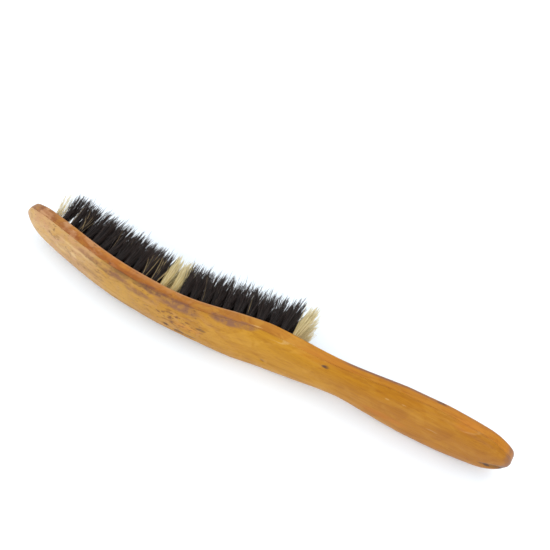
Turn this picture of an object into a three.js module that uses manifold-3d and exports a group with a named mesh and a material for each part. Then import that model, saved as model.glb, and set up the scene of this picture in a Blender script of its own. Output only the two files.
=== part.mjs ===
// A hand-drawn clothes brush with a long curved handle, lying on its side.
//
// The wood is two boards glued together along their whole length. The bristle stock, in front, is bored with
// rows of blind tuft holes. A draw wire behind each long row of holes reaches through a fine hole into every
// tuft hole, where it holds the folded middle of the tuft. The crowned back cover hides the wires.
//
// Millimetres. +X runs from the head to the end of the handle, +Y points the way the bristles point, and +Z is
// up. The brush lies on one side edge, so its width is vertical. The origin is the centre of its footprint.
import * as THREE from "three";
import { mergeVertices } from "three/addons/utils/BufferGeometryUtils.js";
import Module from "manifold-3d";

const wasm = await Module();
wasm.setup();

// ---- Driving dimensions ----
const LENGTH = 300; // along the chord of the bristle face
const HALF_WIDTH = 15; // of the head's bulge and of the handle, the two places that the brush lies on
const HEAD_ROUNDING = 17; // length over which each end of the outline is rounded off
const HANDLE_ROUNDING = 13;
const GAP = 0.3; // between neighbouring pieces

// The bristle face seen from the side: [distance along the chord, height over the chord].
const FACE_CURVE = [[0, -3], [10, -5.5], [20, -7], [70, -15], [105, -16.5], [140, -13.5], [170, -8],
  [205, -5], [250, -3], [LENGTH, 0]];
// Half the width seen from the back, before the ends are rounded off and the bulges flattened to HALF_WIDTH.
const WIDTH_CURVE = [[0, 8.5], [20, 11], [60, 12], [120, 12], [160, 15.5], [210, 11], [255, 15.5], [280, 13],
  [LENGTH, 8]];
// Thickness of the stock, less at the head's tip and in the handle.
const STOCK_CURVE = [[0, 4.5], [20, 6], [185, 6], [215, 5], [LENGTH, 5]];

// The cover's back is half a superellipse. In the head it is crowned and leaves a straight side edge, and from
// the neck on it is fuller and starts further forward, so that the handle is rounded all over.
const COVER_EDGE = 1.1; // thickness of the cover without its crown
const CROWN = 4.2; // how far the middle of the cover stands out past that
const CROWN_FULL = 12; // half width from which the crown is full
const CROWN_STEPS = 12;
const NECK_START = 175; // where the head's section starts to turn into the handle's
const NECK_END = 215;
const SHOULDER_HEAD = 0.33; // from the back of the stock to where the rounding starts
const SHOULDER_HANDLE = -0.7;
const ROUNDNESS_HEAD = 2.4; // the superellipse's exponent: 2 would make it an ellipse
const ROUNDNESS_HANDLE = 3;
const FACE_CHAMFER = 0.8; // along both edges of the bristle face

const TUFT_ROWS = 26; // across the head
const TUFTS_IN_ROW = 4;
const FIRST_ROW = 22; // distance along the chord
const LAST_ROW = 182;
const WHITE_ROWS = [0, 13, 14, 25];
const HOLE_DEPTH = 4;
const HOLE_RADIUS = 1.75;
const HOLE_FIELD = 0.88; // the part of the width that the holes are spread over
const BRISTLE_LENGTH = 20; // out of the face
const WORN_LENGTH = 6; // missing from the first row, and half as much from each row after it
const TIP_OVERHANG = 2.4; // how far the tips spread past the side of the wood
const TIP_HALF_WIDTH = 14.3; // the most that they spread
const TIP_OVERLAP = 0.4; // by which the tips of a row run into each other and past the row's end
const HEAD_LEAN = 4.5; // of the first row's tips, towards the head's tip, halved in each row further in
const HANDLE_LEAN = 3; // of the last row's tips, towards the handle, in the same way

const WIRE_RADIUS = 0.45;
const LEG_RADIUS = 0.4; // of the wire's loop into a tuft hole
const WIRE_DEPTH = 0.7; // of the wire's axis, below the back of the stock
const WIRE_TAIL = 3; // past the first and last holes

const ROUNDING_STEPS = 6; // stations in each rounded end
const ROUNDING_START = 8; // degrees, which leaves a narrow flat at the very end
const STATIONS = 40; // between the rounded ends
const TUFT_SIDES = 6;
const WIRE_SIDES = 4;
const CUT_PAST = 1; // how far a cutting tool runs past the surface it cuts

// ---- Materials ----
const MATERIALS = {
  stock: new THREE.MeshStandardMaterial({ color: 0xb8702c, roughness: 0.38, metalness: 0 }),
  cover: new THREE.MeshStandardMaterial({ color: 0xc48a45, roughness: 0.4, metalness: 0 }),
  wire: new THREE.MeshStandardMaterial({ color: 0xb08d4a, roughness: 0.35, metalness: 0.9 }),
  blackBristle: new THREE.MeshStandardMaterial({ color: 0x2a2322, roughness: 0.6, metalness: 0 }),
  whiteBristle: new THREE.MeshStandardMaterial({ color: 0xd9cc9c, roughness: 0.6, metalness: 0 }),
};

// ---- The outline, as functions of the distance s along the chord ----

// A smooth curve through [s, value] points: a cubic in each span. It is level at each point where it turns
// back, and elsewhere its slope comes from the neighbouring points.
function smoothCurve(points) {
  const slopes = points.map((point, i) => {
    const before = points[i - 1] ?? point;
    const after = points[i + 1] ?? point;
    const inside = before !== point && after !== point;
    const turnsBack = (point[1] - before[1]) * (after[1] - point[1]) <= 0;
    return inside && turnsBack ? 0 : (after[1] - before[1]) / (after[0] - before[0]);
  });
  return (s) => {
    const end = points.findIndex((point, i) => i > 0 && s <= point[0]);
    const [startS, startValue] = points[end - 1];
    const [endS, endValue] = points[end];
    const span = endS - startS;
    const t = (s - startS) / span;
    const blend = t * t * (3 - 2 * t);
    const fromStart = span * slopes[end - 1] * t * (1 - t) ** 2;
    const fromEnd = span * slopes[end] * t ** 2 * (1 - t);
    return startValue + (endValue - startValue) * blend + fromStart - fromEnd;
  };
}

const faceHeight = smoothCurve(FACE_CURVE);
const widthBeforeEnds = smoothCurve(WIDTH_CURVE);
const stockThickness = smoothCurve(STOCK_CURVE);

// The quarter ellipse that rounds off an end, as a factor of the width, at a distance from that end.
function endFactor(distance, rounding) {
  return Math.sqrt(1 - Math.max(1 - distance / rounding, 0) ** 2);
}

function halfWidth(s) {
  const ends = endFactor(s, HEAD_ROUNDING) * endFactor(LENGTH - s, HANDLE_ROUNDING);
  return Math.min(widthBeforeEnds(s), HALF_WIDTH) * ends;
}

// A point at s, at a depth into the wood square to the bristle face (negative along the bristles), and a place
// across.
function place(s, depth, across) {
  const step = 0.05;
  const slope = (faceHeight(s + step) - faceHeight(s - step)) / (2 * step);
  const out = new THREE.Vector2(-slope, 1).normalize();
  return new THREE.Vector3(s - depth * out.x, faceHeight(s) - depth * out.y, across);
}

// Where the boards have a cross-section: close together in the rounded ends, and evenly between them.
function stations() {
  const start = THREE.MathUtils.degToRad(ROUNDING_START);
  const roundings = Array.from({ length: ROUNDING_STEPS }, (_, i) => {
    const angle = start + ((Math.PI / 2 - start) * i) / ROUNDING_STEPS;
    return 1 - Math.cos(angle);
  });
  const between = Array.from({ length: STATIONS + 1 }, (_, i) =>
    THREE.MathUtils.lerp(HEAD_ROUNDING, LENGTH - HANDLE_ROUNDING, i / STATIONS));
  return [
    ...roundings.map((part) => HEAD_ROUNDING * part),
    ...between,
    ...roundings.map((part) => LENGTH - HANDLE_ROUNDING * part).reverse(),
  ];
}

// ---- Solids ----

// A closed geometry through rings of points. Each ring has as many points, and turns anticlockwise seen from
// the last ring.
function loft(rings) {
  const sides = rings[0].length;
  const indices = [];
  for (let ring = 0; ring < rings.length - 1; ring++) {
    for (let side = 0; side < sides; side++) {
      const here = ring * sides + side;
      const beside = ring * sides + ((side + 1) % sides);
      indices.push(here, beside, here + sides, beside, beside + sides, here + sides);
    }
  }
  const last = (rings.length - 1) * sides;
  for (let side = 1; side < sides - 1; side++) {
    indices.push(0, side + 1, side, last, last + side, last + side + 1);
  }
  const geometry = new THREE.BufferGeometry().setFromPoints(rings.flat());
  geometry.setIndex(indices);
  return geometry;
}

function toSolid(geometry) {
  const merged = mergeVertices(geometry);
  return new wasm.Manifold(new wasm.Mesh({
    numProp: 3,
    vertProperties: merged.attributes.position.array,
    triVerts: new Uint32Array(merged.index.array),
  }));
}

function toGeometry(solid) {
  const mesh = solid.getMesh();
  const geometry = new THREE.BufferGeometry();
  geometry.setAttribute("position", new THREE.BufferAttribute(mesh.vertProperties, 3));
  geometry.setIndex(new THREE.BufferAttribute(mesh.triVerts, 1));
  const flat = geometry.toNonIndexed();
  flat.computeVertexNormals();
  return flat;
}

function joinAll(solids) {
  return solids.reduce((joined, solid) => joined.add(solid));
}

// A peg that points along the bristles. Each section gives its depth, its two radii, and how far it is moved
// aside.
function peg(sides, s, across, sections) {
  return toSolid(loft(sections.map(({ depth, along, wide = along, shift = 0, spread = 0 }) =>
    Array.from({ length: sides }, (_, i) => {
      const angle = (2 * Math.PI * i) / sides;
      const point = place(s, depth, across + spread + wide * Math.cos(angle));
      point.x += shift + along * Math.sin(angle);
      return point;
    }))));
}

// ---- The tuft field ----

function rowPosition(row) {
  return THREE.MathUtils.lerp(FIRST_ROW, LAST_ROW, row / (TUFT_ROWS - 1));
}

// The place of one tuft across the brush, when a row is spread evenly over a half width.
function tuftAcross(tuft, half) {
  return half * ((2 * tuft + 1) / TUFTS_IN_ROW - 1);
}

function holeAcross(s, tuft) {
  return tuftAcross(tuft, halfWidth(s) * HOLE_FIELD);
}

// Every tuft hole, as the result of a function of its distance along the chord and its place across.
function forEachHole(tuft, make) {
  return Array.from({ length: TUFT_ROWS }, (_, row) => {
    const s = rowPosition(row);
    return make(s, holeAcross(s, tuft));
  });
}

// ---- The pieces ----

function bristleStock() {
  const board = toSolid(loft(stations().map((s) => {
    const half = halfWidth(s);
    const back = stockThickness(s);
    const chamfer = Math.min(FACE_CHAMFER, half / 2);
    return [
      place(s, 0, half - chamfer),
      place(s, chamfer, half),
      place(s, back, half),
      place(s, back, -half),
      place(s, chamfer, -half),
      place(s, 0, chamfer - half),
    ];
  })));
  const cuts = [];
  for (let tuft = 0; tuft < TUFTS_IN_ROW; tuft++) {
    cuts.push(wireGroove(tuft));
    cuts.push(...forEachHole(tuft, (s, across) => peg(TUFT_SIDES, s, across, [
      { depth: HOLE_DEPTH, along: HOLE_RADIUS },
      { depth: -CUT_PAST, along: HOLE_RADIUS },
    ])));
    cuts.push(...forEachHole(tuft, (s, across) => peg(WIRE_SIDES, s, across, [
      { depth: stockThickness(s) - WIRE_DEPTH, along: LEG_RADIUS + GAP },
      { depth: HOLE_DEPTH - CUT_PAST, along: LEG_RADIUS + GAP },
    ])));
  }
  return board.subtract(joinAll(cuts));
}

function backCover() {
  return toSolid(loft(stations().map((s) => {
    const half = halfWidth(s);
    const neck = THREE.MathUtils.smoothstep(s, NECK_START, NECK_END);
    const shoulder = THREE.MathUtils.lerp(SHOULDER_HEAD, SHOULDER_HANDLE, neck);
    const roundness = THREE.MathUtils.lerp(ROUNDNESS_HEAD, ROUNDNESS_HANDLE, neck);
    const rise = COVER_EDGE + CROWN * Math.min(half / CROWN_FULL, 1) - shoulder;
    const first = Math.asin(Math.max(GAP - shoulder, 0) / rise);
    return Array.from({ length: CROWN_STEPS + 1 }, (_, i) => {
      const angle = THREE.MathUtils.lerp(first, Math.PI - first, i / CROWN_STEPS);
      const across = Math.cos(angle);
      const out = Math.max(Math.sin(angle), 0);
      const reach = (Math.abs(across) ** roundness + out ** roundness) ** (-1 / roundness);
      return place(s, stockThickness(s) + shoulder + rise * out * reach, half * across * reach);
    });
  })));
}

// The places that one wire passes, from tail to tail: each hole of its long row, and a little past both ends.
function wireRoute(tuft) {
  const route = forEachHole(tuft, (s, across) => [s, across]);
  const first = FIRST_ROW - WIRE_TAIL;
  const last = LAST_ROW + WIRE_TAIL;
  return [[first, holeAcross(first, tuft)], ...route, [last, holeAcross(last, tuft)]];
}

function wireGroove(tuft) {
  const half = WIRE_RADIUS + GAP;
  return toSolid(loft(wireRoute(tuft).map(([s, across], i, route) => {
    const past = i === 0 ? -GAP : i === route.length - 1 ? GAP : 0;
    const bottom = stockThickness(s) - WIRE_DEPTH - half;
    const top = stockThickness(s) + CUT_PAST;
    return [
      place(s + past, bottom, across + half),
      place(s + past, top, across + half),
      place(s + past, top, across - half),
      place(s + past, bottom, across - half),
    ];
  })));
}

function drawWire(tuft) {
  const run = toSolid(loft(wireRoute(tuft).map(([s, across]) =>
    Array.from({ length: WIRE_SIDES }, (_, i) => {
      const angle = (2 * Math.PI * i) / WIRE_SIDES;
      const depth = stockThickness(s) - WIRE_DEPTH - WIRE_RADIUS * Math.cos(angle);
      return place(s, depth, across + WIRE_RADIUS * Math.sin(angle));
    }))));
  const legs = forEachHole(tuft, (s, across) => peg(WIRE_SIDES, s, across, [
    { depth: stockThickness(s) - WIRE_DEPTH, along: LEG_RADIUS },
    { depth: HOLE_DEPTH, along: LEG_RADIUS },
  ]));
  return joinAll([run, ...legs]);
}

// One row of tufts across the head. They are tight in their holes, and run into each other at the spread
// tips.
function tuftRow(row) {
  const s = rowPosition(row);
  const fromEnd = TUFT_ROWS - 1 - row;
  const lean = HANDLE_LEAN * 0.5 ** fromEnd - HEAD_LEAN * 0.5 ** row;
  const length = BRISTLE_LENGTH - WORN_LENGTH * 0.5 ** row;
  const halfPitch = (LAST_ROW - FIRST_ROW) / (TUFT_ROWS - 1) / 2;
  const tipPitch = place(s - halfPitch, -length, 0).distanceTo(place(s + halfPitch, -length, 0));
  const tipHalf = Math.min(halfWidth(s) + TIP_OVERHANG, TIP_HALF_WIDTH);
  const root = HOLE_RADIUS - GAP;
  const tufts = Array.from({ length: TUFTS_IN_ROW }, (_, tuft) => {
    const across = holeAcross(s, tuft);
    return peg(TUFT_SIDES, s, across, [
      { depth: HOLE_DEPTH - GAP, along: root },
      { depth: -GAP, along: root },
      {
        depth: -length,
        along: tipPitch / 2 - GAP,
        wide: tipHalf / TUFTS_IN_ROW + TIP_OVERLAP,
        shift: lean,
        spread: tuftAcross(tuft, tipHalf) - across,
      },
    ]);
  });
  return joinAll(tufts);
}

// ---- The assembly ----

const brush = new THREE.Group();

function addPiece(name, solid, material) {
  const mesh = new THREE.Mesh(toGeometry(solid), material);
  mesh.name = name;
  brush.add(mesh);
}

function numbered(name, index) {
  return `${name}_${String(index + 1).padStart(2, "0")}`;
}

addPiece("bristle_stock", bristleStock(), MATERIALS.stock);
addPiece("back_cover", backCover(), MATERIALS.cover);
for (let tuft = 0; tuft < TUFTS_IN_ROW; tuft++) {
  addPiece(numbered("draw_wire", tuft), drawWire(tuft), MATERIALS.wire);
}
for (let row = 0; row < TUFT_ROWS; row++) {
  const white = WHITE_ROWS.includes(row);
  addPiece(numbered("tuft_row", row), tuftRow(row), white ? MATERIALS.whiteBristle : MATERIALS.blackBristle);
}

// The origin goes to the centre of the footprint.
const extent = new THREE.Box3().setFromObject(brush);
const middle = extent.getCenter(new THREE.Vector3());
brush.position.set(-middle.x, -middle.y, -extent.min.z);

export default brush;
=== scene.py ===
"""A worn clothes brush with a long curved handle, lying on its side on a pale floor.

The two boards and the rows of bristles are made again here at full detail, from the same curves as the
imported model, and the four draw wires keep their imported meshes. Along the brush, s runs from the head's tip to
the end of the handle, depth runs into the wood from the bristle face, and across runs from edge to edge. The
driving dimensions are in millimetres and the meshes in metres.
"""

import math

import bmesh
import bpy
import numpy as np
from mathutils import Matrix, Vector, noise


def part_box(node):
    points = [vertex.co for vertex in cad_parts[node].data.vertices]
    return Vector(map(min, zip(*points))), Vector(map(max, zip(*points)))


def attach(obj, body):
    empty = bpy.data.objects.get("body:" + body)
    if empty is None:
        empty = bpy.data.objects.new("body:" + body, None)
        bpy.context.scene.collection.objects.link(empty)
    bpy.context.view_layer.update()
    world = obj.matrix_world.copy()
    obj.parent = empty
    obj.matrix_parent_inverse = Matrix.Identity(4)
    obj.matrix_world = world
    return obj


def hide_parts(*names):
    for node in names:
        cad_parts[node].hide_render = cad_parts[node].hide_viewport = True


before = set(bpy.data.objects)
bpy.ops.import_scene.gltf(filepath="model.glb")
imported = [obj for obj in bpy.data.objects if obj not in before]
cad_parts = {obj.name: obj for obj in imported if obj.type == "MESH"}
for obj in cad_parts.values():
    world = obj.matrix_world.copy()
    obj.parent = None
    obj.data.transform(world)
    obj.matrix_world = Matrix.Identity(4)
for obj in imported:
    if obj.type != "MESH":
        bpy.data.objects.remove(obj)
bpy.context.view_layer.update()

MM = 0.001
SEED = 1907

# ---- The brush's curves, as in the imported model: places along the chord of the bristle face, and values ----
LENGTH = 300
HALF_WIDTH = 15  # of the head's bulge and of the handle, the two places that the brush lies on
HEAD_ROUNDING = 17  # length over which each end of the outline is rounded off
HANDLE_ROUNDING = 13
FACE_CURVE = [  # height of the bristle face over the chord
    (0, -3),
    (10, -5.5),
    (20, -7),
    (70, -15),
    (105, -16.5),
    (140, -13.5),
    (170, -8),
    (205, -5),
    (250, -3),
    (LENGTH, 0),
]
WIDTH_CURVE = [  # half the width, before the ends are rounded off and the bulges flattened to HALF_WIDTH
    (0, 8.5),
    (20, 11),
    (60, 12),
    (120, 12),
    (160, 15.5),
    (210, 11),
    (255, 15.5),
    (280, 13),
    (LENGTH, 8),
]
STOCK_CURVE = [  # thickness of the stock
    (0, 4.5),
    (20, 6),
    (185, 6),
    (215, 5),
    (LENGTH, 5),
]
COVER_EDGE = 1.1  # from the back of the stock to the foot of the crown
CROWN = 4.2  # how far the middle of the cover stands out past that
CROWN_FULL = 12  # half width from which the crown is full
NECK_START = 175  # where the section starts to turn from the head's into the handle's
NECK_END = 215
SHOULDER_HEAD = 0.33  # from the back of the stock to where the rounded back starts, in the head
SHOULDER_HANDLE = -0.7
LEAST_COVER = 0.7  # thickness at the rounded ends
ROUNDNESS_HEAD = 2.4  # exponent of the superellipse that rounds the back: 2 is an ellipse, more is fuller
ROUNDNESS_HANDLE = 3.0
TIP_START = 6  # from here to TIP_END, the back's shape at the head's tip turns into the head's
TIP_END = 34
SHOULDER_TIP = -1.8
ROUNDNESS_TIP = 2.2

# ---- The boards' finer shape ----
GLUE_LINE = 0.03  # between the two boards
SLOPE_STEP = 0.05  # each way along the brush, to find the bristle face's slope
UNEVENNESS = [(17, 0.14), (4, 0.04)]  # size and height of the back's soft waves
WAVE_STRETCH = 1.6  # how much longer those waves are along the brush
DENTS = [  # in the back: distance along and across, half length, half width and depth
    (33, 8.5, 1.2, 0.8, 0.25),
    (50, 7, 1.6, 1.0, 0.25),
    (114, -3.5, 3.5, 0.9, 0.2),
    (122, -5, 4.0, 1.1, 0.28),
    (129, -7.5, 3.0, 0.9, 0.25),
    (170, -3.5, 1.5, 1.3, 0.4),
    (204, 10, 2.4, 0.7, 0.55),
    (262, 3.5, 2.0, 0.6, 0.15),
    (294, -3, 4.5, 1.4, 0.8),
]
FACE_EDGE = 0.9  # radius of the bristle face's long edges
SEAM_EDGE = 0.15  # softening of the two edges at the glue line
CROWN_FOOT = 1.5  # seam edges from the joint to the crown's first point
TIP_EDGE = 1.3  # radius that rounds the boards' ends over in thickness
END_STATIONS = 18  # cross-sections in each rounded end
STATIONS = 520  # cross-sections between them
FIRST_ANGLE = 2.5  # degrees, where the rounded ends start
PACKED_FIRST_ANGLE = 8  # degrees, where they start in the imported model
EDGE_STEPS = 4  # round each long edge of the bristle face
SIDE_STEPS = 6  # down each side of the stock
CROWN_STEPS = 72
HOLE_SIDES = 20
HOLE_RADIUS = 1.75
HOLE_DEPTH = 4
GROOVE_HALF = 0.75
GROOVE_CENTRE = 0.7  # below the back of the stock
GROOVE_TAIL = 3.3  # past the first and last holes
LEG_HOLE_RADIUS = 0.7
LEG_HOLE_SIDES = 8
CUT_PAST = 1  # how far a cutting shape runs past the surface that it cuts
SHARP_ANGLE = 35  # degrees, between faces that keep a hard edge
MEASURE_STEPS = 1200  # along the brush, when vertices are measured
MEASURE_ROUNDS = 8

# ---- The bristles ----
ROWS = 26
TUFTS_IN_ROW = 4
FIRST_ROW = 22
LAST_ROW = 182
HOLE_FIELD = 0.88  # the part of the width that the holes are spread over
WHITE_ROWS = (0, 13, 14, 25)
TIP_OVERHANG = 2.4  # how far the tips spread past the side of the wood
TIP_HALF_WIDTH = 14.3  # the most that they spread
HEAD_LEAN = 4.5  # of the first row's tips, towards the head's tip
HANDLE_LEAN = 3  # of the last row's tips, towards the handle
STRANDS = 160  # in one tuft
SPARSE_STRANDS = 26  # in each tuft of the first row, which is worn thin
CLUMPS = 18  # that a tuft's tips gather into
CLUMP_REACH = 1.1  # how far out the clumps lie, beside the tips' own spread
CLUMP_PULL = (0.55, 1.0)  # the share of the way to its clump that a strand's tip is pulled
SPARSE_PULL = 0.2  # of that, in the first row
CLUMP_UNEVEN = 1.15  # the spread of the clumps' lengths
TIP_JITTER = 0.18
TUFT_UNEVEN = 0.3  # the spread of the tufts' lengths
TUFT_STRAY = 0.4  # of the middle of a tuft's tips
STRAND_UNEVEN = 0.9  # the spread of single strands' lengths
BROKEN_LENGTH = 7.5  # the most that a worn strand has lost
BROKEN_POWER = 2.4  # the higher, the fewer strands have lost much
BEND = 0.4
LOOSE = 0.09  # share of strands that stand away from their tuft
LOOSE_STRAY = 2.0
LOOSE_EXTRA = 2.2  # the most that a loose strand is longer
ODD = 0.004  # share of strands of another colour
ODD_IN_ROW = {0: 0.02, 3: 0.09, 11: 0.04, 12: 0.1, 22: 0.02}  # the same, in the rows that have more of them
ODD_LENGTH = 0.72  # of those strands, beside the others
ODD_THICKNESS = 1.3
ODD_STRAY = 1.0
ODD_COLOURING = (0.2, 0.6)  # least and most of the other colour in an odd strand
ODD_COLOURING_IN_ROW = {0: (0.8, 1), 11: (0.5, 1), 12: (0.6, 1), 13: (0.8, 1), 14: (0.8, 1), 25: (0.8, 1)}
THINNED = {  # share of the strands left, by row and tuft
    (1, 2): 0.03,
    (1, 1): 0.1,
    (1, 0): 0.15,
    (2, 0): 0.3,
    (3, 2): 0.05,
    (3, 1): 0.3,
    (5, 0): 0.4,
    (6, 2): 0.04,
    (6, 1): 0.25,
}
ROW_LEAN = {1: -0.6, 2: 0.8, 3: -1.2, 4: 0.6, 7: 0.8}  # at the tips, towards the handle
WORN_CORNER = {(ROWS - 1, 0): 5, (ROWS - 1, 1): 2.5}  # length missing, by row and tuft
TIP_SPREAD = 1.3  # of a tuft's tips along the brush, beside half the pitch
CONVEX_SPREAD = 1.65  # the same from row CONVEX_FROM on, where the board turns and its bristles fan out
CONVEX_FROM = 15
ACROSS_SPREAD = 1.15  # of a tuft's tips across the brush, beside its share of the width
WHITE_SPREAD = 0.6  # of the white tufts' tips, beside the black ones', but not in the first row
BRISTLE_LENGTH = 19.8
WORN_LENGTH = 6  # missing from the first row
WORN_FALL = 0.42  # of that, missing from the next row, and so on
LEAN_FALL = 0.5  # how the leans of the first and last rows fade, row by row
OUTER_SPLAY = 1.3  # by which the tips of the two outer tufts lean further out
ROOT_RADIUS = 1.4
ROOT_DEPTH = 2.5
STRAND_RADIUS = 0.14
STRAND_THICKNESSES = (0.75, 1.2)  # least and most, beside STRAND_RADIUS
TIP_SHRINK = 0.3  # the part of its thickness that a strand loses towards the tip
STRAND_RINGS = (0, 0.2, 0.45, 0.7, 0.88)  # where a strand has a cross-section, from root to tip
STRAND_SIDES = 3
SPREAD_POWER = 1.5  # above 1, a strand leaves the tuft's root straight and spreads nearer the tip
FLOOR_CLEARANCE = 0.35  # between the floor and the middle of a strand


# ---- The outline ----


def smooth_curve(points):
    """A cubic in each span, level where the curve turns back."""
    s_values = [s for s, _ in points]
    values = [value for _, value in points]
    slopes = []
    for i in range(len(points)):
        before = max(i - 1, 0)
        after = min(i + 1, len(points) - 1)
        inside = 0 < i < len(points) - 1
        turns_back = (values[i] - values[before]) * (values[after] - values[i]) <= 0
        rise = (values[after] - values[before]) / (s_values[after] - s_values[before])
        slopes.append(0 if inside and turns_back else rise)

    def curve(s):
        end = int(np.clip(np.searchsorted(s_values, s), 1, len(points) - 1))
        span = s_values[end] - s_values[end - 1]
        t = (s - s_values[end - 1]) / span
        blend = t * t * (3 - 2 * t)
        from_start = span * slopes[end - 1] * t * (1 - t) ** 2
        from_end = span * slopes[end] * t**2 * (1 - t)
        return values[end - 1] + (values[end] - values[end - 1]) * blend + from_start - from_end

    return curve


face_height = smooth_curve(FACE_CURVE)
width_before_ends = smooth_curve(WIDTH_CURVE)
stock_thickness = smooth_curve(STOCK_CURVE)


def end_factor(distance, rounding):
    """The quarter ellipse that rounds off an end, as a factor of the width, at a distance from that end."""
    return math.sqrt(1 - max(1 - distance / rounding, 0) ** 2)


def half_width(s):
    ends = end_factor(s, HEAD_ROUNDING) * end_factor(LENGTH - s, HANDLE_ROUNDING)
    return min(width_before_ends(s), HALF_WIDTH) * ends


def outward(s):
    """The direction out of the bristle face, along the brush and square to it."""
    slope = (face_height(s + SLOPE_STEP) - face_height(s - SLOPE_STEP)) / (2 * SLOPE_STEP)
    length = math.hypot(slope, 1)
    return -slope / length, 1 / length


def place(s, depth, across):
    """A point at s, at a depth into the wood (negative along the bristles), and across."""
    out_s, out_w = outward(s)
    return s - depth * out_s, face_height(s) - depth * out_w, across


def end_inset(s):
    """How much the ends are rounded over in thickness."""
    return TIP_EDGE * (1 - end_factor(min(s, LENGTH - s), TIP_EDGE))


def stations():
    """Where the boards have a cross-section: close together in the rounded ends, and evenly between them."""
    angles = np.radians(np.linspace(FIRST_ANGLE, 90, END_STATIONS, endpoint=False))
    head = HEAD_ROUNDING * (1 - np.cos(angles))
    handle = LENGTH - HANDLE_ROUNDING * (1 - np.cos(angles))
    between = np.linspace(HEAD_ROUNDING, LENGTH - HANDLE_ROUNDING, STATIONS)
    return [*head, *between, *handle[::-1]]


def row_position(row):
    return FIRST_ROW + (LAST_ROW - FIRST_ROW) * row / (ROWS - 1)


def tuft_across(tuft, half):
    """The place of one tuft across the brush, when a row is spread evenly over a half width."""
    return half * ((2 * tuft + 1) / TUFTS_IN_ROW - 1)


def hole_across(s, tuft):
    return tuft_across(tuft, half_width(s) * HOLE_FIELD)


# ---- Meshes ----


def add_mesh(name, vertices, faces):
    """A mesh object from points in millimetres in the brush's own frame."""
    mesh = bpy.data.meshes.new(name)
    mesh.from_pydata((np.asarray(vertices) * MM).tolist(), [], faces)
    mesh.update()
    piece = bpy.data.objects.new(name, mesh)
    bpy.context.scene.collection.objects.link(piece)
    return piece


def loft_faces(rings, sides):
    """The faces of a closed shape through that many rings of as many points each."""
    faces = []
    for ring in range(rings - 1):
        for side in range(sides):
            here = ring * sides + side
            beside = ring * sides + (side + 1) % sides
            faces.append((here, beside, beside + sides, here + sides))
    last = (rings - 1) * sides
    faces.append(tuple(reversed(range(sides))))
    faces.append(tuple(range(last, last + sides)))
    return faces


def loft(rings):
    vertices = [point for ring in rings for point in ring]
    return vertices, loft_faces(len(rings), len(rings[0]))


def shade(piece):
    """Smooth shading, with the hard edges kept."""
    for polygon in piece.data.polygons:
        polygon.use_smooth = True
    piece.data.set_sharp_from_angle(angle=math.radians(SHARP_ANGLE))


def frame_shift():
    """From the brush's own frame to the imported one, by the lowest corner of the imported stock."""
    first = HEAD_ROUNDING * (1 - math.cos(math.radians(PACKED_FIRST_ANGLE)))
    lowest_s = place(first, stock_thickness(first), 0)[0]
    lowest_w = min(place(s, stock_thickness(s), 0)[1] for s in stations())
    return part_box("bristle_stock")[0] - Vector((lowest_s, lowest_w, -HALF_WIDTH)) * MM


def move_mesh(piece, shift):
    for vertex in piece.data.vertices:
        vertex.co += shift


# ---- The boards ----


def uneven(s, across):
    """A soft unevenness, as of wood shaped and worn by hand."""
    height = 0
    for size, amount in UNEVENNESS:
        height += amount * noise.noise(Vector((s / size, across / size * WAVE_STRETCH, size)))
    return height


def dented(s, across):
    """How deep the knocks in the back are at a place."""
    depth = 0
    for along, aside, length, width, deep in DENTS:
        distance = ((s - along) / length) ** 2 + ((across - aside) / width) ** 2
        depth = max(depth, deep * math.exp(-distance))
    return depth


def smooth_step(value, low, high):
    t = min(max((value - low) / (high - low), 0), 1)
    return t * t * (3 - 2 * t)


def back_shape(s):
    """Where the rounded back starts in depth, how deep it is there, and the exponent of its superellipse."""
    neck = smooth_step(s, NECK_START, NECK_END)
    tip = 1 - smooth_step(s, TIP_START, TIP_END)
    crown = CROWN * min(half_width(s) / CROWN_FULL, 1)
    thickness = stock_thickness(s) + max(COVER_EDGE + crown - end_inset(s), LEAST_COVER)
    shoulder = stock_thickness(s) + SHOULDER_HEAD
    shoulder += (SHOULDER_HANDLE - SHOULDER_HEAD) * neck + (SHOULDER_TIP - SHOULDER_HEAD) * tip
    exponent = ROUNDNESS_HEAD
    exponent += (ROUNDNESS_HANDLE - ROUNDNESS_HEAD) * neck + (ROUNDNESS_TIP - ROUNDNESS_HEAD) * tip
    return shoulder, thickness - shoulder, exponent


def side_half(s, depth):
    """Half the width at a depth, less where the rounded back has started."""
    shoulder, rise, exponent = back_shape(s)
    past = min(max(depth - shoulder, 0) / rise, 1)
    return half_width(s) * (1 - past**exponent) ** (1 / exponent)


def stock_section(s):
    """The stock's cross-section, as (depth, across) points."""
    half = half_width(s)
    front = end_inset(s)
    back = stock_thickness(s)
    radius = min(FACE_EDGE, half / 2)
    seam = min(SEAM_EDGE, half / 4)
    upper = []
    for step in range(EDGE_STEPS + 1):
        angle = math.pi / 2 * step / EDGE_STEPS
        across = half - radius * (1 - math.sin(angle))
        upper.append((front + radius * (1 - math.cos(angle)), across))
    for step in range(1, SIDE_STEPS + 1):
        depth = front + radius + (back - seam - front - radius) * step / SIDE_STEPS
        upper.append((depth, side_half(s, depth)))
    upper.append((back, side_half(s, back) - seam))
    lower = [(depth, -across) for depth, across in reversed(upper)]
    return upper + lower


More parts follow.
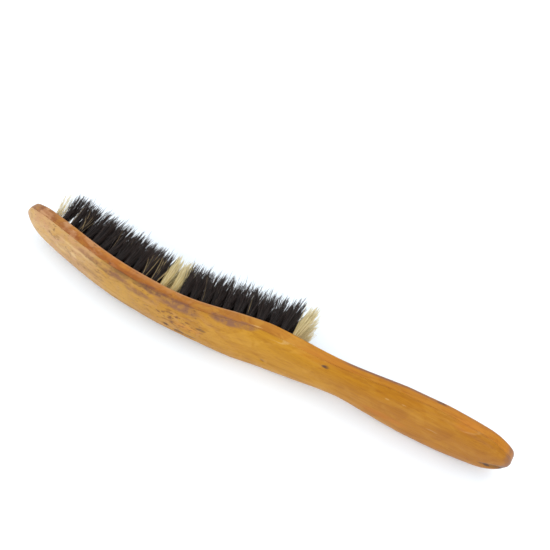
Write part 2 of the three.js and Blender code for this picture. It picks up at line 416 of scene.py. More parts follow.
def cover_section(s):
    """The cover's cross-section, as (depth, across) points."""
    half = half_width(s)
    front = stock_thickness(s) + GLUE_LINE
    shoulder, rise, exponent = back_shape(s)
    seam = min(SEAM_EDGE, half / 4)
    upper = [(front, side_half(s, front) - seam), (front + seam, side_half(s, front + seam))]
    first = math.asin(max(front + CROWN_FOOT * seam - shoulder, 0) / rise)
    curve = []
    for step in range(CROWN_STEPS + 1):
        angle = first + (math.pi - 2 * first) * step / CROWN_STEPS
        cosine = math.cos(angle)
        sine = max(math.sin(angle), 0)
        reach = (abs(cosine) ** exponent + sine**exponent) ** (-1 / exponent)
        across = half * cosine * reach
        height = rise * sine * reach
        worn = uneven(s, across) - dented(s, across)
        curve.append((shoulder + height + worn * min(height, 1), across))
    lower = [(depth, -across) for depth, across in reversed(upper)]
    return upper + curve + lower


def make_board(name, section):
    rings = [[place(s, depth, across) for depth, across in section(s)] for s in stations()]
    piece = add_mesh(name, *loft(rings))
    recalculate_normals(piece)
    return piece


def measure(piece):
    """Keeps each vertex's distance along and around the brush and its depth, for the material's marks.

    Around counts from the middle of the back, over the ridge and up the side, and is negative on the lower
    half.
    """
    grid = np.linspace(0, LENGTH, MEASURE_STEPS + 1)
    face = np.array([face_height(s) for s in grid])
    out = np.array([outward(s) for s in grid])
    thickness = np.array([stock_thickness(s) for s in grid])
    points = np.array([vertex.co for vertex in piece.data.vertices]) / MM
    along = points[:, 0].copy()
    for _ in range(MEASURE_ROUNDS):
        depth = (np.interp(along, grid, face) - points[:, 1]) / np.interp(along, grid, out[:, 1])
        along = points[:, 0] + depth * np.interp(along, grid, out[:, 0])
    on_side = np.maximum(np.interp(along, grid, thickness) - depth, 0)
    around = np.copysign(np.abs(points[:, 2]) + on_side, points[:, 2])
    store(piece, "along", along)
    store(piece, "around", around)
    store(piece, "depth", depth)


def peg(s, across, radius, first, last, sides):
    """A straight peg along the bristles, between two depths."""
    rings = []
    for depth in (first, last):
        ring = []
        for i in range(sides):
            angle = 2 * math.pi * i / sides
            along, height, wide = place(s, depth, across + radius * math.cos(angle))
            ring.append((along + radius * math.sin(angle), height, wide))
        rings.append(ring)
    return loft(rings)


def groove(tuft):
    """The channel in the stock's back that a draw wire lies in."""
    rows = [row_position(row) for row in range(ROWS)]
    rings = []
    for s in [FIRST_ROW - GROOVE_TAIL, *rows, LAST_ROW + GROOVE_TAIL]:
        across = hole_across(s, tuft)
        bottom = stock_thickness(s) - GROOVE_CENTRE - GROOVE_HALF
        top = stock_thickness(s) + CUT_PAST
        corners = [(bottom, 1), (top, 1), (top, -1), (bottom, -1)]
        rings.append([place(s, depth, across + side * GROOVE_HALF) for depth, side in corners])
    return loft(rings)


def joined(parts):
    """Several shapes as one list of vertices and one of faces."""
    vertices = []
    faces = []
    for part_vertices, part_faces in parts:
        first = len(vertices)
        vertices += part_vertices
        faces += [tuple(first + i for i in face) for face in part_faces]
    return vertices, faces


def cut(piece, vertices, faces):
    """Takes a shape away from a piece for good."""
    tool = add_mesh("cutting_tool", vertices, faces)
    recalculate_normals(tool)
    modifier = piece.modifiers.new("cut", "BOOLEAN")
    modifier.operation = "DIFFERENCE"
    modifier.solver = "EXACT"
    modifier.object = tool
    depsgraph = bpy.context.evaluated_depsgraph_get()
    result = bpy.data.meshes.new_from_object(piece.evaluated_get(depsgraph))
    piece.modifiers.clear()
    piece.data = result
    bpy.data.objects.remove(tool)


def recalculate_normals(piece):
    work = bmesh.new()
    work.from_mesh(piece.data)
    bmesh.ops.recalc_face_normals(work, faces=work.faces)
    work.to_mesh(piece.data)
    work.free()


def make_stock():
    """The stock with its tuft holes, its wire grooves and the fine holes between them."""
    piece = make_board("bristle_stock_board", stock_section)
    holes = []
    legs = []
    for tuft in range(TUFTS_IN_ROW):
        for row in range(ROWS):
            s = row_position(row)
            across = hole_across(s, tuft)
            holes.append(peg(s, across, HOLE_RADIUS, HOLE_DEPTH, -CUT_PAST, HOLE_SIDES))
            wire_depth = stock_thickness(s) - GROOVE_CENTRE
            legs.append(peg(s, across, LEG_HOLE_RADIUS, wire_depth, HOLE_DEPTH - CUT_PAST, LEG_HOLE_SIDES))
    cut(piece, *joined(holes))
    cut(piece, *joined([groove(tuft) for tuft in range(TUFTS_IN_ROW)]))
    cut(piece, *joined(legs))
    return piece


# ---- The bristles ----


def strand_faces(count):
    """The faces of that many closed strands, each of rings and a tip point."""
    sides = STRAND_SIDES
    last = (len(STRAND_RINGS) - 1) * sides
    tip = last + sides
    one = [tuple(reversed(range(sides)))]
    for ring in range(len(STRAND_RINGS) - 1):
        for side in range(sides):
            here = ring * sides + side
            beside = ring * sides + (side + 1) % sides
            one.append((here, beside, beside + sides, here + sides))
    for side in range(sides):
        one.append((last + side, last + (side + 1) % sides, tip))
    return [tuple(strand * (tip + 1) + i for i in face) for strand in range(count) for face in one]


def disc(random, count):
    """Points spread evenly over a unit disc."""
    radius = np.sqrt(random.random(count))
    angle = 2 * np.pi * random.random(count)
    return np.stack([radius * np.cos(angle), radius * np.sin(angle)], axis=1)


def row_lean(row):
    """How far a row's tips lean towards the handle."""
    to_handle = HANDLE_LEAN * LEAN_FALL ** (ROWS - 1 - row)
    to_tip = HEAD_LEAN * LEAN_FALL**row
    return to_handle - to_tip + ROW_LEAN.get(row, 0)


def tip_spread(row, tip_half):
    """How far a tuft's tips spread, along and across."""
    half_pitch = (LAST_ROW - FIRST_ROW) / (ROWS - 1) / 2
    fan = TIP_SPREAD if row < CONVEX_FROM else CONVEX_SPREAD
    spread = np.array([half_pitch * fan, tip_half / TUFTS_IN_ROW * ACROSS_SPREAD])
    if row in WHITE_ROWS[1:]:
        spread *= WHITE_SPREAD
    return spread


def tuft_strands(row, tuft, random):
    """One tuft's strands: roots, tips and bends as (along, across), their lengths, and the odd ones."""
    s = row_position(row)
    count = int((SPARSE_STRANDS if row == 0 else STRANDS) * THINNED.get((row, tuft), 1))
    tip_half = min(half_width(s) + TIP_OVERHANG, TIP_HALF_WIDTH)
    length = BRISTLE_LENGTH - WORN_LENGTH * WORN_FALL**row - WORN_CORNER.get((row, tuft), 0)
    length += random.normal(0, TUFT_UNEVEN)

    spot = disc(random, count)
    root_middle = np.array([0, hole_across(s, tuft)])
    roots = root_middle + spot * ROOT_RADIUS
    outer = {0: -OUTER_SPLAY, TUFTS_IN_ROW - 1: OUTER_SPLAY}.get(tuft, 0)
    tip_middle = np.array([row_lean(row), tuft_across(tuft, tip_half) + outer])
    tip_middle = tip_middle + random.normal(0, TUFT_STRAY, 2)
    spread = tip_spread(row, tip_half)
    tips = tip_middle + spot * spread

    clumps = tip_middle + disc(random, CLUMPS) * spread * CLUMP_REACH
    nearest = np.argmin(np.linalg.norm(tips[:, None] - clumps[None], axis=2), axis=1)
    pull = random.uniform(*CLUMP_PULL, count)[:, None] * (SPARSE_PULL if row == 0 else 1)
    tips += (clumps[nearest] - tips) * pull
    tips += random.normal(0, TIP_JITTER, (count, 2))
    loose = random.random(count) < LOOSE
    loose_count = int(loose.sum())
    tips[loose] += random.normal(0, LOOSE_STRAY, (loose_count, 2))

    lengths = length + random.normal(0, CLUMP_UNEVEN, CLUMPS)[nearest]
    lengths += random.normal(0, STRAND_UNEVEN, count) - random.random(count) ** BROKEN_POWER * BROKEN_LENGTH
    lengths[loose] += random.uniform(0, LOOSE_EXTRA, loose_count)
    bends = random.normal(0, BEND, (count, 2))
    odd = random.random(count) < ODD_IN_ROW.get(row, ODD)
    lengths[odd] *= ODD_LENGTH
    tips[odd] += random.normal(0, ODD_STRAY, (int(odd.sum()), 2))
    return roots, tips, lengths, bends, odd


def make_row(row):
    """One row of four tufts, each a bundle of separate tapered strands."""
    random = np.random.default_rng(SEED + row)
    parts = [tuft_strands(row, tuft, random) for tuft in range(TUFTS_IN_ROW)]
    roots, tips, lengths, bends, odd = (np.concatenate(group) for group in zip(*parts))
    count = len(lengths)
    s = row_position(row)
    out_s, out_w = outward(s)
    foot_s, foot_w, _ = place(s, 0, 0)

    twist = random.uniform(0, 2 * np.pi, count)
    thickness = STRAND_RADIUS * random.uniform(*STRAND_THICKNESSES, count)
    thickness[odd] *= ODD_THICKNESS
    per_strand = len(STRAND_RINGS) * STRAND_SIDES + 1
    points = np.zeros((count, per_strand, 3))
    share = np.zeros((count, per_strand))
    for ring, t in enumerate([*STRAND_RINGS, 1.0]):
        height = -ROOT_DEPTH + (lengths + ROOT_DEPTH) * t
        centre = roots + (tips - roots) * t**SPREAD_POWER + bends * math.sin(math.pi * t)
        centre[:, 1] = np.maximum(centre[:, 1], FLOOR_CLEARANCE - HALF_WIDTH)
        along = centre[:, 0] * out_w + height * out_s + foot_s
        up = height * out_w - centre[:, 0] * out_s + foot_w
        at_tip = t == 1.0
        radius = 0 * thickness if at_tip else thickness * (1 - TIP_SHRINK * t)
        for corner in range(1 if at_tip else STRAND_SIDES):
            angle = twist + 2 * np.pi * corner / STRAND_SIDES
            shift_along = radius * np.cos(angle)
            column = ring * STRAND_SIDES + corner
            points[:, column, 0] = along + shift_along * out_w
            points[:, column, 1] = up - shift_along * out_s
            points[:, column, 2] = centre[:, 1] + radius * np.sin(angle)
            share[:, column] = t
    piece = add_mesh(f"bristle_row_{row + 1:02d}", points.reshape(-1, 3), strand_faces(count))
    recalculate_normals(piece)
    store(piece, "tip", share.ravel())
    store(piece, "tone", np.repeat(random.random(count), per_strand))
    colouring = random.uniform(*ODD_COLOURING_IN_ROW.get(row, ODD_COLOURING), count)
    store(piece, "odd", np.repeat(odd * colouring, per_strand))
    for polygon in piece.data.polygons:
        polygon.use_smooth = True
    return piece


def store(piece, name, values):
    """Gives each vertex a value that the materials can read."""
    attribute = piece.data.attributes.new(name, "FLOAT", "POINT")
    attribute.data.foreach_set("value", np.asarray(values, np.float32))


# ---- Materials ----


def new_material(name):
    material = bpy.data.materials.new(name)
    material.use_nodes = True
    tree = material.node_tree
    return material, tree, tree.nodes["Principled BSDF"]


def add_node(tree, kind, inputs=(), **settings):
    """A node whose inputs, by name or number, are linked to sockets or set to values."""
    node = tree.nodes.new(kind)
    for name, value in settings.items():
        setattr(node, name, value)
    for name, value in dict(inputs).items():
        if isinstance(value, bpy.types.NodeSocket):
            tree.links.new(value, node.inputs[name])
        else:
            node.inputs[name].default_value = value
    return node


def calculate(tree, operation, first, second=0.0):
    return add_node(tree, "ShaderNodeMath", {0: first, 1: second}, operation=operation).outputs[0]


def calculate_vector(tree, operation, *vectors):
    """A node for sums on up to three vectors, with a vector and a value as its outputs."""
    return add_node(tree, "ShaderNodeVectorMath", dict(enumerate(vectors)), operation=operation)


def product(tree, first, *others):
    result = first
    for other in others:
        result = calculate(tree, "MULTIPLY", result, other)
    return result


def mix_colours(tree, factor, first, second, blend_type="MIX"):
    inputs = {0: factor, 6: first, 7: second}
    return add_node(tree, "ShaderNodeMix", inputs, data_type="RGBA", blend_type=blend_type).outputs[2]


def ramp(tree, value, low, high, to_low=0.0, to_high=1.0):
    """A smooth step from to_low to to_high, as a value goes from low to high."""
    inputs = {0: value, 1: low, 2: high, 3: to_low, 4: to_high}
    return add_node(tree, "ShaderNodeMapRange", inputs, interpolation_type="SMOOTHSTEP").outputs[0]


def attribute(tree, name):
    return add_node(tree, "ShaderNodeAttribute", attribute_name=name).outputs["Fac"]


def stretched(tree, frequencies):
    """The object's coordinates in metres, times a number of cycles per metre each way."""
    coordinates = add_node(tree, "ShaderNodeTexCoord").outputs["Object"]
    return calculate_vector(tree, "MULTIPLY", coordinates, frequencies).outputs[0]


def cloud(tree, frequencies, detail=3.0, roughness=0.55, distortion=0.0):
    """Soft noise, by default of middling detail."""
    inputs = {
        "Vector": stretched(tree, frequencies),
        "Scale": 1.0,
        "Detail": detail,
        "Roughness": roughness,
        "Distortion": distortion,
    }
    return add_node(tree, "ShaderNodeTexNoise", inputs).outputs[0]


def colour(red, green, blue):
    """A colour given as 0 to 255 in sRGB, as the linear colour that shaders take."""

    def linear(value):
        value /= 255
        return value / 12.92 if value <= 0.04045 else ((value + 0.055) / 1.055) ** 2.4

    return linear(red), linear(green), linear(blue), 1.0


COVER_COLOURS = [  # by distance along, from the worn head to the polished handle
    (0, colour(206, 166, 112)),
    (55, colour(188, 148, 98)),
    (82, colour(179, 134, 62)),
    (120, colour(175, 124, 43)),
    (170, colour(178, 124, 22)),
    (250, colour(166, 106, 8)),
    (LENGTH, colour(162, 104, 20)),
]
STOCK_COLOURS = [
    (0, colour(148, 98, 58)),
    (60, colour(164, 98, 38)),
    (150, colour(162, 103, 34)),
    (188, colour(177, 116, 24)),
    (LENGTH, colour(177, 112, 20)),
]
FLAME = colour(199, 148, 57)  # where light catches the figure of the wood
GRAIN = colour(196, 160, 118)  # multiplies
SIDE_SHADE = colour(196, 150, 104)  # multiplies; painted shade on the head's side band, darker near the ridge
RUBBED = colour(190, 142, 100)  # the varnish is worn off
BARE_AND_HIGHLIGHT = colour(216, 182, 128)  # fresh scratches, and a painted highlight on the back just past the head's ridge
WARM = colour(192, 114, 34)  # thicker varnish
STAIN = colour(126, 86, 66)
INGRAINED_DIRT = colour(112, 68, 36)
# dirt, and the painted shade of a dark line along the head's ridge
DIRT_AND_RIDGE_SHADE = colour(82, 54, 39)
BLACK_BRISTLE = [  # at the root, in the middle, at the tip, and of an odd strand; the darker root is partly painted shade where the strands crowd
    colour(23, 16, 14),
    colour(31, 23, 21),
    colour(60, 45, 39),
    colour(208, 180, 128),
]
# the same; the darker, yellower root is partly the bristle's own colour and partly painted shade
WHITE_BRISTLE = [
    colour(204, 175, 108),
    colour(222, 199, 138),
    colour(236, 223, 182),
    colour(117, 86, 58),
]
CLEAN_BRASS = colour(188, 148, 84)
TARNISHED_BRASS = colour(96, 70, 44)
FLOOR_COLOURS = (colour(244, 250, 255), colour(241, 247, 253))

# Noise in the materials: cycles per metre along, out and across, and how much finer noise is added.
PATCHES = {"frequencies": (95, 150, 150), "roughness": 0.6, "distortion": 0.6}
DASHES = {"frequencies": (210, 620, 620), "roughness": 0.6}
BROAD = {"frequencies": (18, 75, 75), "roughness": 0.6}
STREAKS = {"frequencies": (24, 380, 380), "detail": 4, "roughness": 0.62}
FINE = {"frequencies": (110, 2300, 2300)}
FLECKS = {"frequencies": (420, 1500, 1500), "detail": 2}
WANDER = {"frequencies": (7, 30, 30), "detail": 2}
MOTTLE = {"frequencies": (330, 420, 420), "roughness": 0.65}
TARNISH = {"frequencies": (300, 700, 700), "detail": 4}
PAPER = {"frequencies": (6, 6, 6), "detail": 2}

GROWTH_STRETCH = (0.3, 1, 1)  # the rings run nearly along the board
GROWTH_CENTRE = (0, 0.052, 0.02)  # the tree's heart lay beside the board
GROWTH_RINGS = 420  # per metre
GROWTH_WANDER = 3.2  # in rings
LATE_WOOD_START = (0.3, 0.95)  # in each ring
LATE_WOOD_END = (0.95, 1.0, 1, 0)

# What ramp() fades between: two values, and the strengths there. The first ones go by the noise's value.
BROAD_FLAME = (0.5, 0.75, 0, 0.35)
PATCH_FLAME = (0.5, 0.36, 0, 0.3)
STREAK_GRAIN = (0.42, 0.75, 0, 0.34)
FINE_GRAIN = (0.5, 0.7, 0, 0.3)
PATCH_RUBBED = (0.48, 0.62, 0, 0.6)
FLECK_DIRT = (0.62, 0.7, 0, 0.55)
DASH_DIRT = (0.54, 0.64)
BROKEN = (0.36, 0.56, 0.5, 1)  # stains are uneven
EDGE_BROKEN = (0.35, 0.55, 0.5, 1)
STREAK_ROUGHNESS = (0.3, 0.75, -0.04, 0.08)
# These go by the distance along the brush.
HEAD = (175, 120)
TIP = (90, 25)
HANDLE_FLAME = (230, 170, 0.4, 1)  # fainter under the handle's thicker varnish
EDGE_START = (205, 216)
EDGE_END = (275, 248, 0.3, 1)
END_GRAIN = (295.8, 298.4, 0, 0.75)
SIDE_END = (150, 120)
WORN_EDGE_START = (20, 70, 0.3, 1)
WORN_EDGE_END = (175, 150)
GLOSS = (90, 210, 0.5, 0.36)  # the roughness, from the dull head to the polished handle
# These go by the depth into the wood, or by the distance around.
EDGE_DEPTH = (2.2, 1.0, 0, 0.9)
WORN_EDGE_DEPTH = (1.6, 0.4, 0, 0.5)
SIDE_UPPER = (15.6, 13.4, 0, 0.42)
SIDE_LOWER = (12.1, 12.6)
# These go from a strand's root to its tip, by its own tone, or by the tarnish on the brass.
BRISTLE_ROOT = (0.15, 0.6)
BRISTLE_TIP = (0.65, 1.0, 0, 0.9)
PALER_STRAND = (0.3, 1.0, 0, 0.75)
BRASS_TARNISH = (0.35, 0.7)
BRASS_ROUGHNESS = (0.3, 0.7, 0.28, 0.6)

LATE_WOOD_GRAIN = 0.16
HEAD_RUBBED = 0.35  # beside the tip
STAIN_ROUGHNESS = 0.12
FINE_HEIGHT = -0.5  # the heights are shares of the relief
STREAK_HEIGHT = 0.8
DIRT_AND_RIDGE_SHADE_HEIGHT = 1.2
RELIEF = {"Distance": 0.00008, "Strength": 0.7}  # a distance in metres

# Marks on the wood: distance along and around, half length and half width in millimetres, and strength. Their
# outlines are shaken by noise, as far as SHAKE along and around.
SHAKE = (6, 1.6, 0)
SHAKE_MIDDLE = (3, 0.8, 0)
SHAKE_NOISE = (150, 400, 400)
MARK_EDGE = (1.25, 0.45)  # where a mark starts and where it is full, beside its half length and width
STAINS = [
    (62, 11, 11, 0.9, 0.6),
    (82, 10.5, 10, 1.6, 0.8),
    (98, 9, 12, 1.5, 0.7),
    (106, 12.5, 12, 1.2, 0.9),
    (122, 11.5, 13, 2.0, 0.9),
    (148, 14.5, 10, 1.4, 0.9),
    (158, 15, 7, 1.1, 0.7),
    (88, -6.5, 14, 1.5, 0.4),
    (64, 2.5, 12, 1.6, 0.35),
]
DARK_MARKS = [
    (115, -4, 2.4, 1.2, 1.0),
    (122, -6, 4, 1.1, 0.85),
    (129, -6, 3.5, 1.0, 0.85),
    (136, 4, 3.2, 1.2, 0.7),
    (32, 10.5, 1.0, 0.7, 0.7),
    (29, 7.5, 1.0, 0.7, 0.5),
    (45, -5, 1.2, 0.7, 0.5),
    (68, 10, 12, 0.5, 0.4),
    # painted shade: a dark line along the head's ridge
    (92, 12, 24, 0.4, 0.5),
    (204, 10, 2.4, 0.6, 0.95),
    (170, -3.5, 1.3, 1.1, 0.5),
    (292, -3.5, 6, 1.6, 1.0),
    (298, -4, 3, 3.2, 1.0),
    (262, 19, 2.2, 0.8, 0.9),
]
INGRAINED = [  # fields of short dark dashes
    (120, 2.5, 18, 7.5, 0.9),
    (60, 4, 26, 6, 0.45),
    (36, 5, 16, 5, 0.4),
]
PALE_MARKS = [
    (50, 5, 3, 1.3, 0.6),
    (38, 2, 6, 2.0, 0.35),
    (164, 16, 3.5, 0.3, 0.35),
    (180, 13.5, 6.5, 0.22, 0.22),
    # painted highlight on the back just past the head's ridge
    (52, 9.5, 16, 0.7, 0.4),
    (239, 10.5, 1.5, 0.35, 0.22),
    (240, 18, 1.2, 0.4, 0.4),
    (247, 12, 1.4, 0.35, 0.2),
    (262, 4, 2.2, 0.35, 0.2),
    (279, 12.5, 6, 0.25, 0.1),
]
WARM_PATCHES = [  # where the varnish is thicker and more orange
    (277, 14, 7, 2.2, 0.3),
    (78, 16, 14, 2.0, 0.2),
    (205, 13, 18, 2.5, 0.25),
    (128, 1, 8, 2.5, 0.3),
    (238, -3, 14, 2.5, 0.35),
]


def marks_mask(tree, place_now, marks):
    """How much of the surface soft oval marks cover."""
    covered = 0.0
    for along, around, length, width, strength in marks:
        scale = (1 / length, 1 / width, 0)
        middle = (-along / length, -around / width, 0)
        offset = calculate_vector(tree, "MULTIPLY_ADD", place_now, scale, middle).outputs[0]
        distance = calculate_vector(tree, "LENGTH", offset).outputs["Value"]
        covered = calculate(tree, "MAXIMUM", ramp(tree, distance, *MARK_EDGE, 0, strength), covered)
    return covered


def shaken_place(tree, along, around):
    """The place along and around the brush, shaken by noise."""
    noise_inputs = {"Vector": stretched(tree, SHAKE_NOISE), "Scale": 1.0, "Detail": 4.0}
    shaking = add_node(tree, "ShaderNodeTexNoise", noise_inputs).outputs["Color"]
    steady = add_node(tree, "ShaderNodeCombineXYZ", {0: along, 1: around}).outputs[0]
    shaken = calculate_vector(tree, "MULTIPLY_ADD", shaking, SHAKE, steady).outputs[0]
    return calculate_vector(tree, "SUBTRACT", shaken, SHAKE_MIDDLE).outputs[0]


def late_wood(tree):
    """The dark part of each growth ring."""
    ring_place = calculate_vector(tree, "DISTANCE", stretched(tree, GROWTH_STRETCH), GROWTH_CENTRE)
    phase = calculate(tree, "MULTIPLY", ring_place.outputs["Value"], GROWTH_RINGS)
    wandering = calculate(tree, "MULTIPLY", cloud(tree, **WANDER), GROWTH_WANDER)
    ring = calculate(tree, "FRACT", calculate(tree, "ADD", phase, wandering))
    return product(tree, ramp(tree, ring, *LATE_WOOD_START), ramp(tree, ring, *LATE_WOOD_END))


def clean_wood(tree, along, streaks, fine, along_colours):
    """The colour of the wood and its grain, with the varnish rubbed thin in the head."""
    patches = cloud(tree, **PATCHES)
    tone = along_colours[0][1]
    for (start, _), (end, following) in zip(along_colours, along_colours[1:]):
        tone = mix_colours(tree, ramp(tree, along, start, end), tone, following)
    tone = mix_colours(tree, ramp(tree, cloud(tree, **BROAD), *BROAD_FLAME), tone, FLAME)
    tone = mix_colours(tree, ramp(tree, streaks, *STREAK_GRAIN), tone, GRAIN, "MULTIPLY")
    tone = mix_colours(tree, product(tree, late_wood(tree), LATE_WOOD_GRAIN), tone, GRAIN, "MULTIPLY")
    tone = mix_colours(tree, ramp(tree, fine, *FINE_GRAIN), tone, GRAIN, "MULTIPLY")
    flame = product(tree, ramp(tree, patches, *PATCH_FLAME), ramp(tree, along, *HANDLE_FLAME))
    tone = mix_colours(tree, flame, tone, FLAME)
    in_head = product(tree, ramp(tree, along, *HEAD), HEAD_RUBBED)
    in_head = calculate(tree, "ADD", ramp(tree, along, *TIP), in_head)
    rubbed = product(tree, ramp(tree, patches, *PATCH_RUBBED), in_head)
    return mix_colours(tree, rubbed, tone, RUBBED)


def worn_edges_and_side_shade(tree, tone, along, around, depth, streaks, broken):
    """Darkens the handle's edges and end, paints shade on the head's side band near the ridge, and rubs the
    head's edge bare.
    """
    edge = product(tree, ramp(tree, depth, *EDGE_DEPTH), ramp(tree, along, *EDGE_START))
    edge = product(tree, edge, ramp(tree, along, *EDGE_END), ramp(tree, streaks, *EDGE_BROKEN))
    tone = mix_colours(tree, edge, tone, STAIN)
    end_grain = product(tree, ramp(tree, along, *END_GRAIN), broken)
    tone = mix_colours(tree, end_grain, tone, STAIN)
    # painted shade: the head's side band darkens towards the ridge
    side = product(tree, ramp(tree, around, *SIDE_UPPER), ramp(tree, around, *SIDE_LOWER))
    side = product(tree, side, ramp(tree, along, *SIDE_END))
    tone = mix_colours(tree, side, tone, SIDE_SHADE, "MULTIPLY")
    hand_worn = product(tree, ramp(tree, depth, *WORN_EDGE_DEPTH), ramp(tree, along, *WORN_EDGE_END))
    hand_worn = product(tree, hand_worn, ramp(tree, along, *WORN_EDGE_START))
    return mix_colours(tree, hand_worn, tone, RUBBED)


def wood_material(name, along_colours):
    """Varnished wood whose grain runs along the brush, with the stains, knocks and wear of long use, and painted
    shade on the head's side band and ridge, with a painted highlight just past the ridge.
    """
    material, tree, shader = new_material(name)
    along = attribute(tree, "along")
    around = attribute(tree, "around")
    depth = attribute(tree, "depth")
    streaks = cloud(tree, **STREAKS)
    fine = cloud(tree, **FINE)
    place_now = shaken_place(tree, along, around)

    broken = ramp(tree, cloud(tree, **MOTTLE), *BROKEN)
    stain = product(tree, marks_mask(tree, place_now, STAINS), broken)
    specks = product(tree, ramp(tree, cloud(tree, **FLECKS), *FLECK_DIRT), ramp(tree, along, *HEAD))
    # dark marks and specks: dirt, and painted shade along the head's ridge
    dirt_and_ridge_shade = product(tree, marks_mask(tree, place_now, DARK_MARKS), broken)
    dirt_and_ridge_shade = calculate(tree, "MAXIMUM", dirt_and_ridge_shade, specks)
    dashes = ramp(tree, cloud(tree, **DASHES), *DASH_DIRT)
    ingrained = product(tree, marks_mask(tree, place_now, INGRAINED), dashes)

    tone = clean_wood(tree, along, streaks, fine, along_colours)
    tone = mix_colours(tree, marks_mask(tree, place_now, WARM_PATCHES), tone, WARM)
    tone = mix_colours(tree, stain, tone, STAIN)
    tone = mix_colours(tree, ingrained, tone, INGRAINED_DIRT)
    tone = mix_colours(tree, dirt_and_ridge_shade, tone, DIRT_AND_RIDGE_SHADE)
    # pale marks: scratches, and a painted highlight just past the head's ridge
    tone = mix_colours(tree, marks_mask(tree, place_now, PALE_MARKS), tone, BARE_AND_HIGHLIGHT)
    tone = worn_edges_and_side_shade(tree, tone, along, around, depth, streaks, broken)
    tree.links.new(tone, shader.inputs["Base Color"])

    rough = calculate(tree, "ADD", ramp(tree, along, *GLOSS), ramp(tree, streaks, *STREAK_ROUGHNESS))
    rough = calculate(tree, "ADD", rough, product(tree, stain, STAIN_ROUGHNESS))
    tree.links.new(rough, shader.inputs["Roughness"])
    height = product(tree, fine, FINE_HEIGHT)
    height = calculate(tree, "SUBTRACT", height, product(tree, streaks, STREAK_HEIGHT))
    height = calculate(tree, "SUBTRACT", height, product(tree, dirt_and_ridge_shade, DIRT_AND_RIDGE_SHADE_HEIGHT))
    bump = add_node(tree, "ShaderNodeBump", {"Height": height, **RELIEF})
    tree.links.new(bump.outputs[0], shader.inputs["Normal"])
    shader.inputs["Specular IOR Level"].default_value = 0.17
    shader.inputs["Coat Weight"].default_value = 0.03
    shader.inputs["Coat Roughness"].default_value = 0.25
    return material


def bristle_material(name, colours):
    """Natural bristle, coloured at the root, in the middle and at the tip, with a few odd strands. The darker
    root colour is partly painted shade where the strands crowd, and partly the bristle's own colour.
    """
    root, middle, tip, odd = colours
    material, tree, shader = new_material(name)
    along = attribute(tree, "tip")
    tone = attribute(tree, "tone")
    strand = mix_colours(tree, ramp(tree, along, *BRISTLE_ROOT), root, middle)
    strand = mix_colours(tree, ramp(tree, along, *BRISTLE_TIP), strand, tip)
    strand = mix_colours(tree, ramp(tree, tone, *PALER_STRAND), strand, tip)
    strand = mix_colours(tree, attribute(tree, "odd"), strand, odd)
    tree.links.new(strand, shader.inputs["Base Color"])
    shader.inputs["Roughness"].default_value = 0.38
    shader.inputs["Specular IOR Level"].default_value = 0.36
    return material


def wire_material():
    """Old drawn brass."""
    material, tree, shader = new_material("drawn_brass")
    tarnish = cloud(tree, **TARNISH)
    tone = mix_colours(tree, ramp(tree, tarnish, *BRASS_TARNISH), CLEAN_BRASS, TARNISHED_BRASS)
    tree.links.new(tone, shader.inputs["Base Color"])
    tree.links.new(ramp(tree, tarnish, *BRASS_ROUGHNESS), shader.inputs["Roughness"])
    shader.inputs["Metallic"].default_value = 1.0
    return material


# ---- Stage ----

CAMERA_AZIMUTH = 33.68  # degrees
CAMERA_ELEVATION = 49.0
CAMERA_DISTANCE = 0.4835  # metres
CAMERA_TARGET = Vector((-0.0102, 0.0484, 0))
CAMERA_LENS = 55.3  # of a 36 mm wide sensor
SENSOR = 36
NEAREST = 0.01
LIGHTS = [  # name, azimuth, elevation, distance and size in metres, power and colour
    ("key", 150, 62, 1.6, 1.4, 5.5, (1.0, 1.0, 0.99)),
    ("front", 30, 34, 1.8, 1.6, 12, (0.93, 0.97, 1.0)),
]
FLOOR_HALF = 4000  # millimetres
FLOOR_GLOW = (0.94, 0.98, 1, 1)
ROOM_COLOUR = (0.93, 0.97, 1.0, 1)
ROOM_STRENGTH = 1.08


def sphere_direction(azimuth, elevation):
    """The unit vector towards a place that looks at the brush from an azimuth and elevation in degrees."""
    a = math.radians(azimuth)
    e = math.radians(elevation)
    return Vector((math.sin(a) * math.cos(e), -math.cos(a) * math.cos(e), math.sin(e)))


def add_camera():
    data = bpy.data.cameras.new("camera")
    data.lens = CAMERA_LENS
    data.sensor_width = SENSOR
    data.clip_start = NEAREST
    camera = bpy.data.objects.new("camera", data)
    back = sphere_direction(CAMERA_AZIMUTH, CAMERA_ELEVATION)
    camera.location = CAMERA_TARGET + back * CAMERA_DISTANCE
    camera.rotation_euler = (-back).to_track_quat("-Z", "Y").to_euler()
    bpy.context.scene.collection.objects.link(camera)
    bpy.context.scene.camera = camera


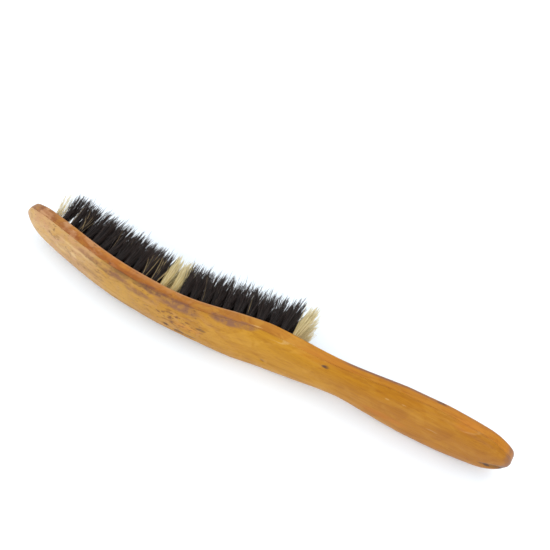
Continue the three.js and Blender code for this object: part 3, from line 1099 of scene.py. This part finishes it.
def add_area_light(name, azimuth, elevation, distance, size, power, tint):
    data = bpy.data.lights.new(name, "AREA")
    data.shape = "DISK"
    data.size = size
    data.energy = power
    data.color = tint
    light = bpy.data.objects.new(name, data)
    direction = sphere_direction(azimuth, elevation)
    light.location = direction * distance
    light.rotation_euler = (-direction).to_track_quat("-Z", "Y").to_euler()
    bpy.context.scene.collection.objects.link(light)


def add_floor():
    """A large sheet of pale paper."""
    signs = [(-1, -1), (1, -1), (1, 1), (-1, 1)]
    corners = [(x * FLOOR_HALF, y * FLOOR_HALF, 0) for x, y in signs]
    floor = add_mesh("floor", corners, [(0, 1, 2, 3)])
    material, tree, shader = new_material("floor_paper")
    tone = mix_colours(tree, cloud(tree, **PAPER), *FLOOR_COLOURS)
    tree.links.new(tone, shader.inputs["Base Color"])
    shader.inputs["Roughness"].default_value = 0.85
    shader.inputs["Emission Color"].default_value = FLOOR_GLOW
    shader.inputs["Emission Strength"].default_value = 0.07
    floor.data.materials.append(material)


def add_world():
    world = bpy.data.worlds.new("soft_room")
    world.use_nodes = True
    background = world.node_tree.nodes["Background"]
    background.inputs["Color"].default_value = ROOM_COLOUR
    background.inputs["Strength"].default_value = ROOM_STRENGTH
    bpy.context.scene.world = world


# ---- Putting it together ----


def finish_piece(piece, nodes, material, shift):
    move_mesh(piece, shift)
    piece.data.materials.clear()
    piece.data.materials.append(material)
    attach(piece, "root")
    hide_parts(*nodes)


def build():
    stock = make_stock()
    cover = make_board("back_cover_board", cover_section)
    shift = frame_shift()
    measure(stock)
    measure(cover)
    finish_piece(stock, ["bristle_stock"], wood_material("stock_wood", STOCK_COLOURS), shift)
    finish_piece(cover, ["back_cover"], wood_material("cover_wood", COVER_COLOURS), shift)
    shade(stock)
    shade(cover)

    black = bristle_material("black_bristle", BLACK_BRISTLE)
    white = bristle_material("white_bristle", WHITE_BRISTLE)
    for row in range(ROWS):
        is_white = row in WHITE_ROWS
        material = white if is_white else black
        finish_piece(make_row(row), [f"tuft_row_{row + 1:02d}"], material, shift)

    brass = wire_material()
    for name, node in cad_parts.items():
        if name.startswith("draw_wire"):
            node.data.materials.clear()
            node.data.materials.append(brass)


build()
add_floor()
add_world()
for light in LIGHTS:
    add_area_light(*light)
add_camera()
bpy.context.scene.view_settings.view_transform = "Standard"
